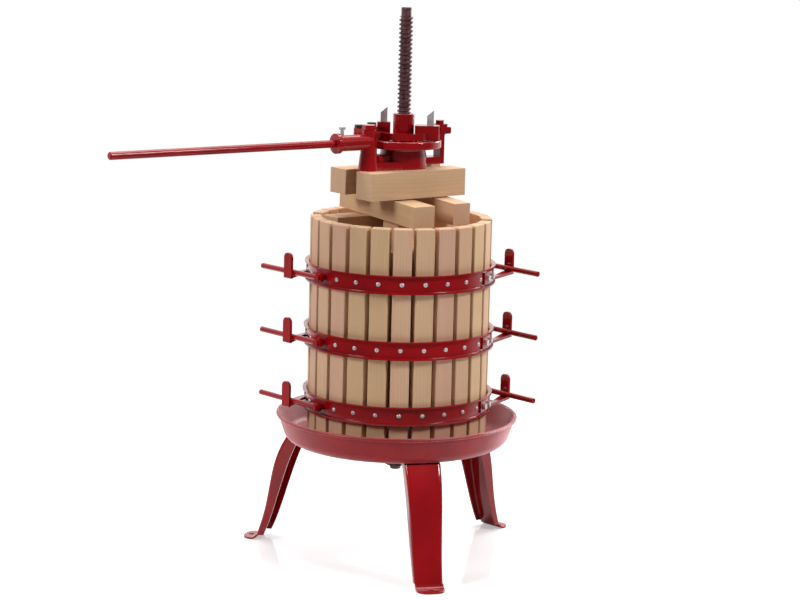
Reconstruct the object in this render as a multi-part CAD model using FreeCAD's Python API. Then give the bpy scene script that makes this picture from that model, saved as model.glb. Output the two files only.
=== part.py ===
import FreeCAD
import Part
import math
import os

# A basket press for grapes: a slatted cage in two halves stands in a round basin on three legs,
# and a double-acting ratchet head walks down a fixed screw and pushes wooden blocks on the fruit.
# Millimetres. The origin is on the screw's axis at floor level, +Z is up, and the front is at -Y.

# Screw, fixed to the basin
screw_diameter = 22.5
screw_top = 906.0
screw_tip_diameter = 16.6
screw_tip_length = 14.0
screw_collar_diameter = 40.0
screw_collar_height = 10.0
stud_diameter = 18.0
stud_end_height = 141.0
bottom_nut_flats = 30.0
bottom_nut_height = 20.0
centre_hub_height = 22.0
centre_hub_top_radius = 34.0
centre_hub_foot_radius = 20.0

# Basin, a pressed pan with a raised floor and a gutter round it
leg_height = 190.0
basin_wall = 2.5
basin_rim_radius = 200.0
basin_depth = 47.0
basin_lip_radius = 3.0
basin_flank_lean = 15.0
basin_belly_radius = 20.0
basin_floor_radius = 148.0
gutter_step = 4.0
gutter_slope_run = 5.0
press_bend = 3.0

# Juice spout at the back of the basin
spout_azimuth = 90.0
spout_width = 46.0
spout_wall = 2.5
spout_reach = 255.0
spout_height = 26.0
spout_drop = 5.0
spout_floor_rise = 4.0

# Reinforcement plate under the basin floor
plate_radius = 128.0

# Legs, pressed channels that open towards the axis
leg_count = 3
leg_first_azimuth = -75.5
leg_wall = 3.0
leg_top_width = 60.0
leg_foot_width = 46.0
leg_ankle_radius = 238.0
leg_ankle_bend = 10.0
leg_toe_length = 24.0
leg_toe_corner = 17.0
leg_corner_bend = 6.0
# height, outer radius and depth of the sides, from the basin down to the ankle
leg_stations = [
    (leg_height, leg_ankle_radius - 58.0, 25.0),
    (leg_height - 24.0, leg_ankle_radius - 44.0, 25.5),
    (140.0, leg_ankle_radius - 34.0, 25.0),
    (97.0, leg_ankle_radius - 24.5, 20.5),
    (54.0, leg_ankle_radius - 16.0, 16.0),
    (9.0, leg_ankle_radius - 2.0, 13.0),
]
leg_plate_inner_radius = 98.0
foot_hole_diameter = 9.0
foot_hole_place = 13.0
leg_bolt_radius = 112.0
leg_bolt_spacing = 32.0
leg_bolt_diameter = 8.0
leg_bolt_hole = 8.6
leg_bolt_head_diameter = 16.0
leg_bolt_head_height = 4.5
leg_bolt_nut_flats = 13.0
leg_bolt_nut_height = 6.5

# Cage, two halves of twelve slats each, held by three hoops
slats_per_half = 12
slat_step = 14.4
slat_width = 30.0
slat_thickness = 18.0
slat_corner = 1.6
slat_end_chamfer = 1.2
cage_height = 368.0
cage_seat_gap = 0.3
cage_split_azimuth = -5.7
cage_split_gap = 1.4
hoop_inner_radius = 149.0
hoop_wall = 2.5
hoop_height = 30.0
hoop_flange = 8.0
hoop_bend = 3.5
hoop_heights = {"top": 476.0, "middle": 369.5, "bottom": 263.0}
slat_fit = 0.05
hoop_screw_head_diameter = 7.4
hoop_screw_head_height = 2.2

# Cage locks, a swinging rod on one half that drops behind a hook on the other
rod_diameter = 9.0
rod_length = 146.0
rod_pivot_azimuth = 37.7
rod_axis_azimuth = 42.0
rod_flange_clearance = 0.9
rod_eye_diameter = 14.0
rod_eye_thickness = 9.4
rod_pin_diameter = 6.0
rod_pin_fit = 0.1
rod_pin_head_diameter = 10.0
rod_pin_head_height = 2.5
rod_boss_diameter = 10.0
hook_wall = 3.0
hook_plate_height = 20.0
hook_plate_start = -27.0
hook_plate_end = -2.0
hook_strap_start = -9.0
hook_strap_wall = 4.5
hook_strap_drop = 0.4
hook_finger_place = 71.0
hook_finger_width = 19.0
hook_finger_wall = 4.0
hook_finger_top = 32.0
hook_finger_round = 8.5
hook_finger_gap = 0.5
hook_bolt_diameter = 6.0
hook_bolt_fit = 0.2
hook_bolt_head_diameter = 10.0
hook_bolt_head_height = 4.0
hook_bolt_azimuths = (-22.5, -14.2)

# Wooden blocks in three crossing layers, and the two half boards under them. The pieces of stock are
# not all of one height, so the cross layer leans down towards the front right.
stack_height = 122.0
front_block_height = 44.0
cross_block_height = 35.0
block_width = 42.0
block_place = 35.0
block_turn = 37.0
block_contact = 0.15
cross_turn = -55.0
cross_lean = 2.7
cross_left_width = 40.0
cross_left_place = -35.0
cross_right_width = 32.0
cross_right_place = 43.0
board_thickness = 28.0
board_radius = 128.0
board_split_gap = 2.0
board_notch_diameter = 32.0
# name: length, and shift of the middle from the screw along the block
block_lengths = {
    "block_top_front": (189.0, -8.0),
    "block_top_rear": (192.0, -8.0),
    "block_cross_left": (215.0, 7.5),
    "block_cross_right": (190.0, 14.0),
    "block_bottom_front": (120.0, 13.0),
    "block_bottom_rear": (195.0, -20.0),
}

# Ratchet head, heights above the foot's underside
head_base = 646.0
foot_radius = 39.0
foot_height = 19.0
foot_bore_clearance = 1.0
foot_edge = 3.0
foot_arm_height = 13.0
foot_arm_width = 30.0
pivot_radius = 77.0
pivot_azimuth = 224.0
boss_bottom_radius = 17.0
boss_top_radius = 14.0
boss_height = 26.0
thrust_gap = 0.3

nut_neck_radius = 28.0
disc_radius = 62.0
disc_bottom = 34.0
disc_top = 47.0
disc_edge = 2.0
hub_radius = 17.3
hub_top = 88.0
nut_fit = 0.06
disc_hole_count = 16
disc_hole_diameter = 13.0
disc_hole_radius = 45.0

arm_gap = 1.0
arm_height = 11.0
arm_width = 11.0
arm_eye_radius = 9.0
guide_top = 71.0
front_arm_radius = 40.0
front_arm_start_azimuth = 212.0
front_guide_azimuth = 344.0
front_guide_size = (40.0, 26.0)
front_guide_shift = -5.0
front_guide_corner = 5.0
rear_guide_azimuth = 136.5
rear_guide_size = (22.0, 19.0)
rear_guide_corner = 3.0
front_link = (-71.7, -34.0)
rear_link = (-52.0, 8.0)

pawl_width = 11.0
pawl_thickness = 5.6
pawl_top = 95.5
pawl_slant = 9.5
pawl_ride = 0.3
pawl_fit = 0.2

socket_azimuth = 215.7
socket_axis_height = 46.0
socket_diameter = 26.0
socket_length = 66.0
socket_collar_diameter = 33.0
socket_collar_width = 8.0
socket_hub_radius = 13.5
socket_waist_radius = 10.5
ear_thickness = 7.0
ear_radius = 9.0
pin_diameter = 8.0
pin_head_flats = 13.0
pin_head_height = 5.0
pivot_pin_diameter = 12.0
pivot_pin_head_flats = 19.0
pivot_pin_head_height = 7.0
running_fit = 0.1

bar_diameter = 12.5
bar_fit = 0.15
bar_start = 20.0
bar_end = 474.0
bar_end_chamfer = 1.5
set_screw_diameter = 6.0
set_screw_offset = 52.0
set_screw_rise = 13.0
set_screw_tip_gap = 0.3
set_screw_wing_length = 10.0
set_screw_wing_thickness = 4.0

keeper_azimuth = 32.0
keeper_width = 20.0
keeper_arm_bottom = 4.0
keeper_post_inner = 65.0
keeper_post_outer = 73.5
keeper_lug_bottom = 53.0
keeper_lug_top = 64.0
keeper_lug_outer = 86.0
keeper_tongue_inner = 59.5
keeper_tongue_outer = 80.0
keeper_tongue_thickness = 5.0
keeper_bolt_radius = 69.5
keeper_bolt_diameter = 8.0
keeper_bolt_flats = 13.0
keeper_bolt_head_height = 6.0
keeper_hole_fit = 0.2

# Values that follow from the sizes above
floor_underside = leg_height + gutter_step
floor_top = floor_underside + basin_wall
rim_top = leg_height + basin_depth
leg_toe_radius = leg_ankle_radius + leg_toe_length
foot_hole_radius = leg_ankle_radius + foot_hole_place
screw_radius = screw_diameter / 2
slat_plane = math.sqrt(hoop_inner_radius ** 2 - (slat_width / 2 - slat_corner) ** 2) - slat_fit
cage_bottom = floor_top + cage_seat_gap
hoop_outer_radius = hoop_inner_radius + hoop_wall
rod_line_radius = hoop_inner_radius + hoop_flange + rod_flange_clearance + rod_diameter / 2
cross_slope = math.tan(math.radians(cross_lean))
arm_bottom = disc_top + arm_gap
arm_top = arm_bottom + arm_height
ear_bottom = arm_top + thrust_gap
ear_top = ear_bottom + ear_thickness
pivot_point = (pivot_radius * math.cos(math.radians(pivot_azimuth)),
               pivot_radius * math.sin(math.radians(pivot_azimuth)))
up = FreeCAD.Vector(0, 0, 1)
axis_foot = FreeCAD.Vector(0, 0, 0)


# Small tools for outlines and places

def polar(radius, azimuth, height=0.0):
    turn = math.radians(azimuth)
    return FreeCAD.Vector(radius * math.cos(turn), radius * math.sin(turn), height)


def turned(shape, degrees, centre=axis_foot, axis=up):
    copy = shape.copy()
    copy.rotate(centre, axis, degrees)
    return copy


def moved(shape, x=0.0, y=0.0, z=0.0):
    copy = shape.copy()
    copy.translate(FreeCAD.Vector(x, y, z))
    return copy


def corner_arc(before, corner, after, radius):
    to_before = (before - corner).normalize()
    to_after = (after - corner).normalize()
    half = to_before.getAngle(to_after) / 2
    reach = radius / math.tan(half)
    middle = corner + (to_before + to_after).normalize() * (radius / math.sin(half) - radius)
    return corner + to_before * reach, middle, corner + to_after * reach


# A closed wire through the points in order, each corner rounded by its own radius.
def outline(points, radii=0.0):
    count = len(points)
    if not isinstance(radii, (list, tuple)):
        radii = [radii] * count
    corners = []
    for i, corner in enumerate(points):
        if radii[i] > 0:
            corners.append(corner_arc(points[i - 1], corner, points[(i + 1) % count], radii[i]))
        else:
            corners.append((corner, None, corner))
    edges = []
    for i, (start, middle, end) in enumerate(corners):
        if middle is not None:
            edges.append(Part.Arc(start, middle, end).toShape())
        following = corners[(i + 1) % count][0]
        if end.distanceToPoint(following) > 1e-6:
            edges.append(Part.LineSegment(end, following).toShape())
    return Part.Wire(edges)


def side_face(points, radii=0.0):
    return Part.Face(outline([FreeCAD.Vector(a, 0, b) for a, b in points], radii))


def plan_face(points, radii=0.0, height=0.0):
    return Part.Face(outline([FreeCAD.Vector(a, b, height) for a, b in points], radii))


def revolved(points, radii=0.0, degrees=360.0, start=0.0):
    solid = side_face(points, radii).revolve(axis_foot, up, degrees)
    return turned(solid, start) if start else solid


def prism(points, radii, low, high):
    return plan_face(points, radii, low).extrude(up * (high - low))


def rectangle(x_low, x_high, y_low, y_high):
    return [(x_low, y_low), (x_high, y_low), (x_high, y_high), (x_low, y_high)]


def block_between(low, high):
    size = [b - a for a, b in zip(low, high)]
    return Part.makeBox(*size, FreeCAD.Vector(*low))


def post(radius, low, high, x=0.0, y=0.0):
    return Part.makeCylinder(radius, high - low, FreeCAD.Vector(x, y, low))


def hexagon_post(flats, low, high, x=0.0, y=0.0):
    reach = flats / math.sqrt(3)
    points = [(x + reach * math.cos(math.radians(60 * i)), y + reach * math.sin(math.radians(60 * i)))
              for i in range(6)]
    return prism(points, 0.0, low, high)


# A flat bar with round ends that joins two points in plan.
def capsule(start, end, radius, low, high):
    along = FreeCAD.Vector(end[0] - start[0], end[1] - start[1], 0)
    side = up.cross(along).normalize() * radius
    first = FreeCAD.Vector(start[0], start[1], low)
    last = FreeCAD.Vector(end[0], end[1], low)
    corners = [first + side, first - side, last - side, last + side, first + side]
    bar = Part.Face(Part.makePolygon(corners)).extrude(up * (high - low))
    ends = [post(radius, low, high, *start), post(radius, low, high, *end)]
    return bar.multiFuse(ends).removeSplitter()


# The other face of a bent sheet: the path moved to its left by the wall, with its bend radii.
def other_face(path, radii, wall):
    moved_path = []
    moved_radii = []
    for i, (a, b) in enumerate(path):
        ways = []
        for start, end in ((i - 1, i), (i, i + 1)):
            if start >= 0 and end < len(path):
                run = (path[end][0] - path[start][0], path[end][1] - path[start][1])
                length = math.hypot(*run)
                ways.append((run[0] / length, run[1] / length))
        first, last = ways[0], ways[-1]
        share = wall / (1 + first[0] * last[0] + first[1] * last[1])
        moved_path.append((a - (first[1] + last[1]) * share, b + (first[0] + last[0]) * share))
        left_turn = first[0] * last[1] - first[1] * last[0]
        moved_radii.append(max(radii[i] - math.copysign(wall, left_turn), 0.0) if radii[i] else 0.0)
    return moved_path, moved_radii


def sheet(path, radii, wall):
    other, other_radii = other_face(path, radii, wall)
    return path + other[::-1], radii + other_radii[::-1]


# Basin

def basin_path():
    flank_run = basin_rim_radius - basin_lip_radius - basin_flank_lean
    return [
        (stud_diameter / 2 + running_fit, floor_underside),
        (basin_floor_radius, floor_underside),
        (basin_floor_radius + gutter_slope_run, leg_height),
        (flank_run, leg_height),
        (basin_rim_radius - basin_lip_radius, rim_top - basin_lip_radius),
    ]


basin_radii = [0.0, press_bend, press_bend, basin_belly_radius, 0.0]


def spout_channel(half_width, floor_inner, floor_outer, top, inner, outer):
    floor = [(inner, floor_inner), (outer, floor_outer), (outer, top), (inner, top)]
    side = side_face(floor)
    side.translate(FreeCAD.Vector(0, -half_width, 0))
    return side.extrude(FreeCAD.Vector(0, 2 * half_width, 0))


def spout_void():
    floor = leg_height + spout_floor_rise
    return spout_channel(spout_width / 2 - spout_wall, floor, floor - spout_drop,
                         rim_top + basin_depth, basin_floor_radius + 2 * gutter_slope_run, spout_reach)


def basin():
    points, radii = sheet(basin_path(), basin_radii, basin_wall)
    pan = revolved(points, radii)
    lip = Part.makeTorus(basin_rim_radius - basin_lip_radius, basin_lip_radius,
                         FreeCAD.Vector(0, 0, rim_top - basin_lip_radius))
    pan = pan.fuse(lip)
    slot_top = leg_height + spout_height
    slot = spout_void().common(post(basin_rim_radius, leg_height, slot_top))
    pan = pan.cut(turned(slot, spout_azimuth))
    return pan.cut(leg_bolt_holes())


def spout():
    floor = leg_height + spout_floor_rise - spout_wall
    outer = spout_channel(spout_width / 2, floor, floor - spout_drop,
                          leg_height + spout_height, basin_rim_radius - 2 * basin_belly_radius, spout_reach)
    trough = outer.cut(spout_void())
    envelope_points = basin_path() + [(stud_diameter / 2, rim_top - basin_lip_radius)]
    envelope = revolved(envelope_points, basin_radii + [0.0])
    trough = trough.cut(envelope)
    largest = max(trough.Solids, key=lambda solid: solid.Volume)
    return turned(largest, spout_azimuth)


def under_plate():
    plate = post(plate_radius, leg_height, floor_underside)
    plate = plate.cut(post(stud_diameter / 2 + running_fit, leg_height, floor_underside))
    return plate.cut(leg_bolt_holes())


def centre_hub():
    low = leg_height - centre_hub_height
    hole = stud_diameter / 2 + running_fit
    shoulder = leg_height - centre_hub_height / 3
    points = [(hole, low), (centre_hub_foot_radius, low), (centre_hub_top_radius, shoulder),
              (centre_hub_top_radius, leg_height), (hole, leg_height)]
    return revolved(points, [0.0, press_bend, press_bend, 0.0, 0.0])


def screw():
    stud = stud_diameter / 2
    collar = screw_collar_diameter / 2
    tip = screw_tip_diameter / 2
    thread_end = screw_top - screw_tip_length
    points = [
        (0, stud_end_height), (stud, stud_end_height), (stud, floor_top), (collar, floor_top),
        (collar, floor_top + screw_collar_height), (screw_radius, floor_top + screw_collar_height),
        (screw_radius, thread_end - tip / 4), (tip, thread_end), (tip, screw_top), (0, screw_top),
    ]
    return revolved(points)


def bottom_nut():
    top = leg_height - centre_hub_height
    nut = hexagon_post(bottom_nut_flats, top - bottom_nut_height, top)
    return nut.cut(post(stud_diameter / 2 + nut_fit, top - bottom_nut_height, top))


# Legs

def leg_half_width(height):
    share = (height - leg_wall) / (leg_height - leg_wall)
    return (leg_foot_width + (leg_top_width - leg_foot_width) * share) / 2


# The channel's section at one height: two sides and an outer web, with rounded corners.
def leg_section(height, outer, depth):
    half = leg_half_width(height)
    inner = outer - depth
    wall = leg_wall
    points = [
        (inner, -half), (outer, -half), (outer, half), (inner, half),
        (inner, half - wall), (outer - wall, half - wall), (outer - wall, wall - half), (inner, wall - half),
    ]
    inside_bend = leg_corner_bend - leg_wall
    radii = [0.0, leg_corner_bend, leg_corner_bend, 0.0, 0.0, inside_bend, inside_bend, 0.0]
    return outline([FreeCAD.Vector(a, b, height) for a, b in points], radii)


# The flat toe and the bend that brings it up to the bottom of the channel.
def leg_toe():
    ankle = leg_stations[-1]
    shin = leg_stations[-2]
    path = [(leg_toe_radius, leg_wall), (leg_ankle_radius, leg_wall), (shin[1], shin[0])]
    points, radii = sheet(path, [0.0, leg_ankle_bend, 0.0], leg_wall)
    face = side_face(points, radii)
    half = leg_foot_width / 2
    face.translate(FreeCAD.Vector(0, -leg_top_width, 0))
    band = face.extrude(FreeCAD.Vector(0, 2 * leg_top_width, 0))
    plan = prism(rectangle(0, leg_toe_radius, -half, half), [0.0, leg_toe_corner, leg_toe_corner, 0.0],
                 0.0, ankle[0])
    return band.common(plan).cut(post(foot_hole_diameter / 2, 0.0, leg_wall, foot_hole_radius, 0.0))


def leg_bolt_holes():
    holes = []
    for place in leg_bolt_places():
        holes.append(post(leg_bolt_hole / 2, leg_height - 2 * leg_wall, floor_top + 1, place.x, place.y))
    return Part.makeCompound(holes)


def leg_bolt_places():
    places = []
    for i in range(leg_count):
        azimuth = leg_first_azimuth + i * 360 / leg_count
        for side in (-1, 1):
            spot = FreeCAD.Vector(leg_bolt_radius, side * leg_bolt_spacing / 2, 0)
            places.append(FreeCAD.Rotation(up, azimuth).multVec(spot))
    return places


def leg():
    channel = Part.makeLoft([leg_section(*station) for station in leg_stations], True, False)
    top = leg_stations[0]
    half = leg_half_width(leg_height) - leg_corner_bend / 2
    plate = prism(rectangle(leg_plate_inner_radius, top[1] - leg_wall / 2, -half, half),
                  [leg_toe_corner, 0.0, 0.0, leg_toe_corner], leg_height - leg_wall, leg_height)
    body = channel.fuse(leg_toe()).fuse(plate)
    for side in (-1, 1):
        hole = post(leg_bolt_hole / 2, leg_height - leg_wall, leg_height,
                    leg_bolt_radius, side * leg_bolt_spacing / 2)
        body = body.cut(hole)
    return body.removeSplitter()


# A round-headed bolt down through the floor, plate and leg, with its nut underneath.
def leg_bolt():
    low = leg_height - leg_wall - leg_bolt_nut_height
    head = leg_bolt_head_diameter / 2
    shank = leg_bolt_diameter / 2
    points = [(0, low - 1), (shank, low - 1), (shank, floor_top), (head, floor_top),
              (shank, floor_top + leg_bolt_head_height), (0, floor_top + leg_bolt_head_height)]
    bolt = revolved(points, [0.0, 0.0, 0.0, 0.0, shank / 2, 0.0])
    return bolt.fuse(hexagon_post(leg_bolt_nut_flats, low, leg_height - leg_wall))


def leg_bolts():
    bolt = leg_bolt()
    return Part.makeCompound([moved(bolt, place.x, place.y) for place in leg_bolt_places()])


# Cage

def slat():
    half = slat_width / 2
    inner = slat_plane - slat_thickness
    points = rectangle(inner, slat_plane, -half, half)
    body = prism(points, [0.0, slat_corner, slat_corner, 0.0], cage_bottom, cage_bottom + cage_height)
    ends = [edge for edge in body.Edges if abs(edge.tangentAt(edge.FirstParameter).z) < 0.5]
    return body.makeChamfer(slat_end_chamfer, ends)


# The azimuths of one half's slats, spread evenly about the middle of the half.
def slat_azimuths(split_azimuth):
    middle = split_azimuth + 90
    return [middle + slat_step * (i - (slats_per_half - 1) / 2) for i in range(slats_per_half)]


def slats(split_azimuth):
    one = slat()
    return Part.makeCompound([turned(one, azimuth) for azimuth in slat_azimuths(split_azimuth)])


def hoop(height, start):
    top = height + hoop_height / 2
    low = height - hoop_height / 2
    outer = hoop_inner_radius + hoop_flange
    points, radii = sheet([(outer, top), (hoop_inner_radius, top), (hoop_inner_radius, low), (outer, low)],
                          [0.0, hoop_bend, hoop_bend, 0.0], hoop_wall)
    gap = math.degrees(cage_split_gap / hoop_outer_radius)
    return revolved(points, radii, 180 - gap, start + gap / 2)


# One round screw head for each slat, seated on the hoop's web. A hook's bolt holds the last slat.
def hoop_screws(split_azimuth):
    heads = []
    for height in hoop_heights.values():
        for azimuth in slat_azimuths(split_azimuth)[:-1]:
            seat = polar(hoop_outer_radius, azimuth, height)
            way = polar(1.0, azimuth)
            heads.append(Part.makeCylinder(hoop_screw_head_diameter / 2, hoop_screw_head_height, seat, way))
    return Part.makeCompound(heads)


# Locks: the right-hand set is built at height zero, and the left-hand set is the same turned half round.

def rod_start():
    return polar(rod_line_radius, rod_pivot_azimuth)


def rod_way():
    return polar(1.0, rod_axis_azimuth - 90)


def rod():
    start = rod_start()
    out = polar(1.0, rod_axis_azimuth)
    bar = Part.makeCylinder(rod_diameter / 2, rod_length, start, rod_way())
    eye_start = start - out * (rod_eye_thickness / 2)
    eye = Part.makeCylinder(rod_eye_diameter / 2, rod_eye_thickness, eye_start, out)
    hole = Part.makeCylinder(rod_pin_diameter / 2 + rod_pin_fit, 2 * rod_eye_diameter,
                             start - out * rod_eye_diameter, out)
    return bar.fuse(eye).cut(hole).removeSplitter()


# The pin that the rod swings on: a boss on the hoop's web, the pin, and its head outside the eye.
def rod_pin():
    start = rod_start()
    out = polar(1.0, rod_axis_azimuth)
    inner = start - out * (rod_eye_thickness / 2 + rod_flange_clearance)
    outer = start + out * (rod_eye_thickness / 2 + rod_flange_clearance)
    reach = hoop_flange
    boss = Part.makeCylinder(rod_boss_diameter / 2, reach, inner - out * reach, out)
    pin = Part.makeCylinder(rod_pin_diameter / 2, outer.distanceToPoint(inner), inner, out)
    head = Part.makeCylinder(rod_pin_head_diameter / 2, rod_pin_head_height, outer, out)
    body = boss.fuse(pin).fuse(head)
    clear = post(hoop_outer_radius, -hoop_height, hoop_height)
    return body.cut(clear).removeSplitter()


# The hook: a plate bolted to the web, a strap that passes under the rod, and a finger outside the rod.
def hook():
    half = hook_plate_height / 2
    face = hoop_outer_radius
    plate = revolved([(face, -half), (face + hook_wall, -half), (face + hook_wall, half), (face, half)],
                     0.0, hook_plate_end - hook_plate_start, hook_plate_start)
    for azimuth in hook_bolt_azimuths:
        hole = Part.makeCylinder(hook_bolt_diameter / 2 + hook_bolt_fit, 2 * hook_wall,
                                 polar(face - hook_wall / 2, azimuth), polar(1.0, azimuth))
        plate = plate.cut(hole)
    return plate.fuse(hook_strap()).fuse(hook_finger()).removeSplitter()


def hook_finger_foot():
    crossing = rod_start() + rod_way() * hook_finger_place
    return crossing + polar(rod_diameter / 2 + hook_finger_gap, rod_axis_azimuth)


def hook_strap():
    high = -rod_diameter / 2 - hook_strap_drop
    outer = hook_finger_foot() + polar(hook_finger_wall, rod_axis_azimuth)
    half = rod_way() * (hook_finger_width / 2)
    root_radius = hoop_outer_radius + hook_wall / 2
    corners = [polar(root_radius, hook_strap_start), outer + half, outer - half,
               polar(root_radius, hook_plate_end)]
    return prism([(corner.x, corner.y) for corner in corners], 0.0, high - hook_strap_wall, high)


def hook_finger():
    low = -rod_diameter / 2 - hook_strap_drop - hook_strap_wall
    half = hook_finger_width / 2
    face = side_face([(-half, low), (half, low), (half, hook_finger_top), (-half, hook_finger_top)],
                     [0.0, 0.0, hook_finger_round, hook_finger_round])
    finger = turned(face.extrude(FreeCAD.Vector(0, hook_finger_wall, 0)), rod_axis_azimuth - 90)
    foot = hook_finger_foot()
    return moved(finger, foot.x, foot.y)


def hook_bolt_pair():
    bolts = []
    for azimuth in hook_bolt_azimuths:
        out = polar(1.0, azimuth)
        seat = polar(hoop_outer_radius + hook_wall, azimuth)
        shank = Part.makeCylinder(hook_bolt_diameter / 2, hook_wall, seat - out * hook_wall, out)
        head = Part.makeCylinder(hook_bolt_head_diameter / 2, hook_bolt_head_height, seat, out)
        bolts.append(shank.fuse(head))
    return bolts


def lock_sides():
    return {"right": 0.0, "left": 180.0}


# Wood

# Height of the leaning layer's upper face, a given way from the screw towards its low end.
def cross_top(way):
    first_touch = block_place - block_width / 2
    return head_base - front_block_height - block_contact + (first_touch - way) * cross_slope


def cross_bottom(way):
    return cross_top(way) - cross_block_height / math.cos(math.radians(cross_lean))


def level_block(name, side, low, high):
    length, shift = block_lengths[name]
    half = block_width / 2
    body = block_between((shift - length / 2, -side * block_place - half, low),
                         (shift + length / 2, -side * block_place + half, high))
    return turned(body, block_turn)


def cross_block(name, place, width):
    length, shift = block_lengths[name]
    body = block_between((shift - length / 2, place - width / 2, -cross_block_height),
                         (shift + length / 2, place + width / 2, 0))
    body = turned(body, cross_lean, axis=FreeCAD.Vector(0, 1, 0))
    return turned(moved(body, z=cross_top(0)), cross_turn)


def wood_blocks():
    inner = block_place - block_width / 2
    outer = block_place + block_width / 2
    board_top = head_base - stack_height
    return {
        "block_top_front": level_block("block_top_front", 1, head_base - front_block_height, head_base),
        "block_top_rear": level_block("block_top_rear", -1, cross_top(-outer) + block_contact, head_base),
        "block_cross_left": cross_block("block_cross_left", cross_left_place, cross_left_width),
        "block_cross_right": cross_block("block_cross_right", cross_right_place, cross_right_width),
        "block_bottom_front": level_block("block_bottom_front", 1, board_top,
                                          cross_bottom(outer) - block_contact),
        "block_bottom_rear": level_block("block_bottom_rear", -1, board_top,
                                         cross_bottom(-inner) - block_contact),
    }


def half_board(side):
    high = head_base - stack_height
    low = high - board_thickness
    disc = post(board_radius, low, high)
    reach = 2 * board_radius
    keep = block_between((board_split_gap / 2, -reach, low), (reach, reach, high))
    board = disc.common(keep).cut(post(board_notch_diameter / 2, low, high))
    return turned(board, block_turn + (180 if side > 0 else 0))


# Ratchet head

def at_head(shape):
    return moved(shape, 0, 0, head_base)


def foot():
    bore = screw_radius + foot_bore_clearance
    ring = revolved([(bore, 0), (foot_radius, 0), (foot_radius, foot_height), (bore, foot_height)],
                    [0.0, 0.0, foot_edge, 0.0])
    arm = prism([(0, -foot_radius + foot_edge), (pivot_radius, -boss_top_radius),
                 (pivot_radius, boss_top_radius), (0, foot_radius - foot_edge)], 0.0, 0, foot_arm_height)
    rib = block_between((0, -foot_edge, 0), (pivot_radius, foot_edge, foot_height - foot_edge))
    arm = turned(arm.fuse(rib), pivot_azimuth)
    boss = moved(Part.makeCone(boss_bottom_radius, boss_top_radius, boss_height), *pivot_point)
    body = ring.fuse(arm).fuse(boss).fuse(keeper_bracket())
    body = body.cut(post(bore, 0, disc_top))
    return at_head(body.removeSplitter())


def keeper_bracket():
    half = keeper_width / 2
    half_arm = foot_arm_width / 2
    arm = prism([(0, -half_arm), (keeper_post_outer, -half), (keeper_post_outer, half), (0, half_arm)],
                0.0, keeper_arm_bottom, foot_height - foot_edge)
    side = side_face([(keeper_post_inner, keeper_arm_bottom), (keeper_post_outer, keeper_arm_bottom),
                      (keeper_post_outer, keeper_lug_bottom), (keeper_lug_outer, keeper_lug_bottom),
                      (keeper_lug_outer, keeper_lug_top), (keeper_post_inner, keeper_lug_top)],
                     [0.0, foot_edge, foot_edge, foot_edge, foot_edge, 0.0])
    side.translate(FreeCAD.Vector(0, -half, 0))
    upright = side.extrude(FreeCAD.Vector(0, keeper_width, 0))
    hole = post(keeper_bolt_diameter / 2 + keeper_hole_fit, keeper_arm_bottom + foot_height,
                keeper_lug_top, keeper_bolt_radius)
    return turned(arm.fuse(upright).cut(hole), keeper_azimuth)


def keeper_tongue():
    half = keeper_width / 2
    low = keeper_lug_top
    plate = prism(rectangle(keeper_tongue_inner, keeper_tongue_outer, -half, half),
                  foot_edge, low, low + keeper_tongue_thickness)
    hole = post(keeper_bolt_diameter / 2 + keeper_hole_fit, low, low + keeper_tongue_thickness,
                keeper_bolt_radius)
    lip = block_between((keeper_tongue_inner, -half + foot_edge, keeper_lug_bottom),
                        (keeper_post_inner - keeper_hole_fit, half - foot_edge, low + 1))
    return at_head(turned(plate.fuse(lip).cut(hole), keeper_azimuth))


def keeper_bolt():
    shank_low = keeper_arm_bottom + foot_height + 1
    head_low = keeper_lug_top + keeper_tongue_thickness
    shank = post(keeper_bolt_diameter / 2, shank_low, head_low, keeper_bolt_radius)
    head = hexagon_post(keeper_bolt_flats, head_low, head_low + keeper_bolt_head_height, keeper_bolt_radius)
    return at_head(turned(shank.fuse(head), keeper_azimuth))


def ratchet_nut():
    bore = screw_radius + nut_fit
    points = [
        (bore, foot_height + thrust_gap), (nut_neck_radius, foot_height + thrust_gap),
        (nut_neck_radius, disc_bottom), (disc_radius, disc_bottom), (disc_radius, disc_top),
        (hub_radius, disc_top), (hub_radius, hub_top), (bore, hub_top),
    ]
    body = revolved(points, [0.0, 0.0, foot_edge, disc_edge, disc_edge, foot_edge, disc_edge / 2, 0.0])
    holes = []
    for i in range(disc_hole_count):
        spot = polar(disc_hole_radius, i * 360 / disc_hole_count)
        holes.append(post(disc_hole_diameter / 2, disc_bottom, disc_top, spot.x, spot.y))
    return at_head(body.cut(Part.makeCompound(holes)))


def guide_block(centre, size, corner, shift):
    x, y = centre.x + shift, centre.y
    half_x, half_y = size[0] / 2, size[1] / 2
    return prism(rectangle(x - half_x, x + half_x, y - half_y, y + half_y), corner, arm_bottom, guide_top)


def pawl_slot(centre):
    half_x = pawl_width / 2 + pawl_fit
    half_y = pawl_thickness / 2 + pawl_fit
    return prism(rectangle(centre.x - half_x, centre.x + half_x, centre.y - half_y, centre.y + half_y),
                 0.0, 0.0, pawl_top)


def link_hole(link):
    return post(pin_diameter / 2 + running_fit, 0, pawl_top, *link)


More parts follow.
